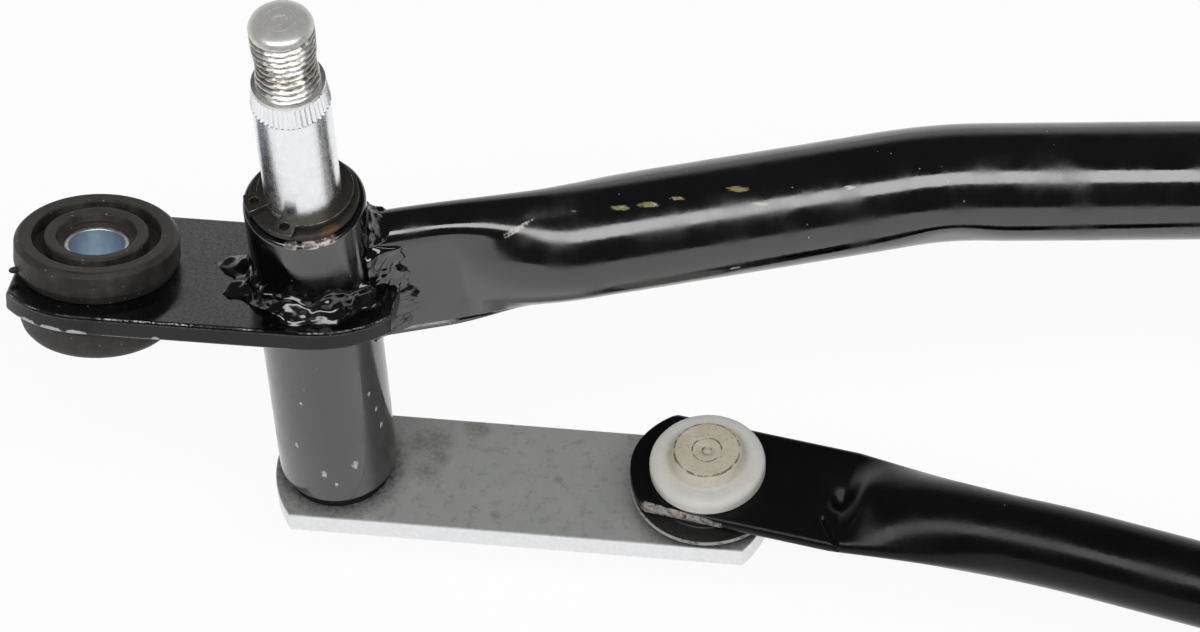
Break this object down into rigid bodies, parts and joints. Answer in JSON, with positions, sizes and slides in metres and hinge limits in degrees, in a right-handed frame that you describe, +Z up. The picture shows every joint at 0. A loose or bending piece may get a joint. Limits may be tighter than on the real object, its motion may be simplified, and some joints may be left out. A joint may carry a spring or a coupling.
{
  "type": "wiper linkage",
  "caption": "Windscreen wiper linkage: a bent tube frame with spindle housings on rubber-mounted plates, cranks and ball-jointed drive links to a motor plate.",
  "frame": {"origin": "left spindle's axis, at the wiper arm's seat, where the thread begins", "axes": "+X along the line of the two spindles towards the right one, +Z up along the spindles, -Y towards the motor's side"},
  "size_m": [0.6358, 0.1542, 0.1261],
  "materials": {
    "frame_paint": "gloss black paint",
    "link_paint": "satin black coating",
    "zinc_plate": "zinc plated",
    "steel": "bright turned steel",
    "spring_steel": "blackened spring steel",
    "sleeve_zinc": "blue passivated zinc",
    "rubber": "moulded rubber",
    "nylon": "natural nylon",
    "bronze": "sintered bronze"
  },
  "bodies": {
    "frame": {"frame_tube": "frame_paint", "motor_plate": "frame_paint", "saddle_welds": "frame_paint", "front_grommet": "rubber", "front_sleeve": "sleeve_zinc", "left_housing": "frame_paint", "left_mount_plate": "frame_paint", "left_welds": "frame_paint", "left_grommet": "rubber", "left_sleeve": "sleeve_zinc", "left_upper_bush": "bronze", "left_lower_bush": "bronze", "left_shaft_seal": "rubber", "right_housing": "frame_paint", "right_mount_plate": "frame_paint", "right_welds": "frame_paint", "right_grommet": "rubber", "right_sleeve": "sleeve_zinc", "right_upper_bush": "bronze", "right_lower_bush": "bronze", "right_shaft_seal": "rubber"},
    "left_pivot": {"left_spindle": "steel", "left_top_washer": "zinc_plate", "left_circlip": "spring_steel", "left_thrust_washer": "nylon", "left_crank": "zinc_plate", "left_ball_stud": "steel"},
    "left_link": {"left_link_rod": "link_paint", "left_pivot_socket": "nylon", "left_pivot_seal": "rubber", "left_motor_socket": "nylon", "left_motor_seal": "rubber"},
    "right_pivot": {"right_spindle": "steel", "right_top_washer": "zinc_plate", "right_circlip": "spring_steel", "right_thrust_washer": "nylon", "right_crank": "zinc_plate", "right_ball_stud": "steel"},
    "right_link": {"right_link_rod": "link_paint", "right_pivot_socket": "nylon", "right_pivot_seal": "rubber", "right_motor_socket": "nylon", "right_motor_seal": "rubber"}
  },
  "joints": [
    {"name": "left_pivot_turn", "type": "hinge", "parent": "frame", "child": "left_pivot", "pos_m": [0, 0, 0], "axis": [0, 0, 1], "range_deg": [-118, 12]},
    {"name": "left_ball_turn", "type": "hinge", "parent": "left_pivot", "child": "left_link", "pos_m": [0.06047, -0.00636, -0.0903], "axis": [0, 0, 1], "range_deg": [-130, 150]},
    {"name": "right_pivot_turn", "type": "hinge", "parent": "frame", "child": "right_pivot", "pos_m": [0.54, 0, 0], "axis": [0, 0, 1], "range_deg": [-12, 118]},
    {"name": "right_ball_turn", "type": "hinge", "parent": "right_pivot", "child": "right_link", "pos_m": [0.47953, -0.00636, -0.1055], "axis": [0, 0, 1], "range_deg": [-150, 130]}
  ]
}
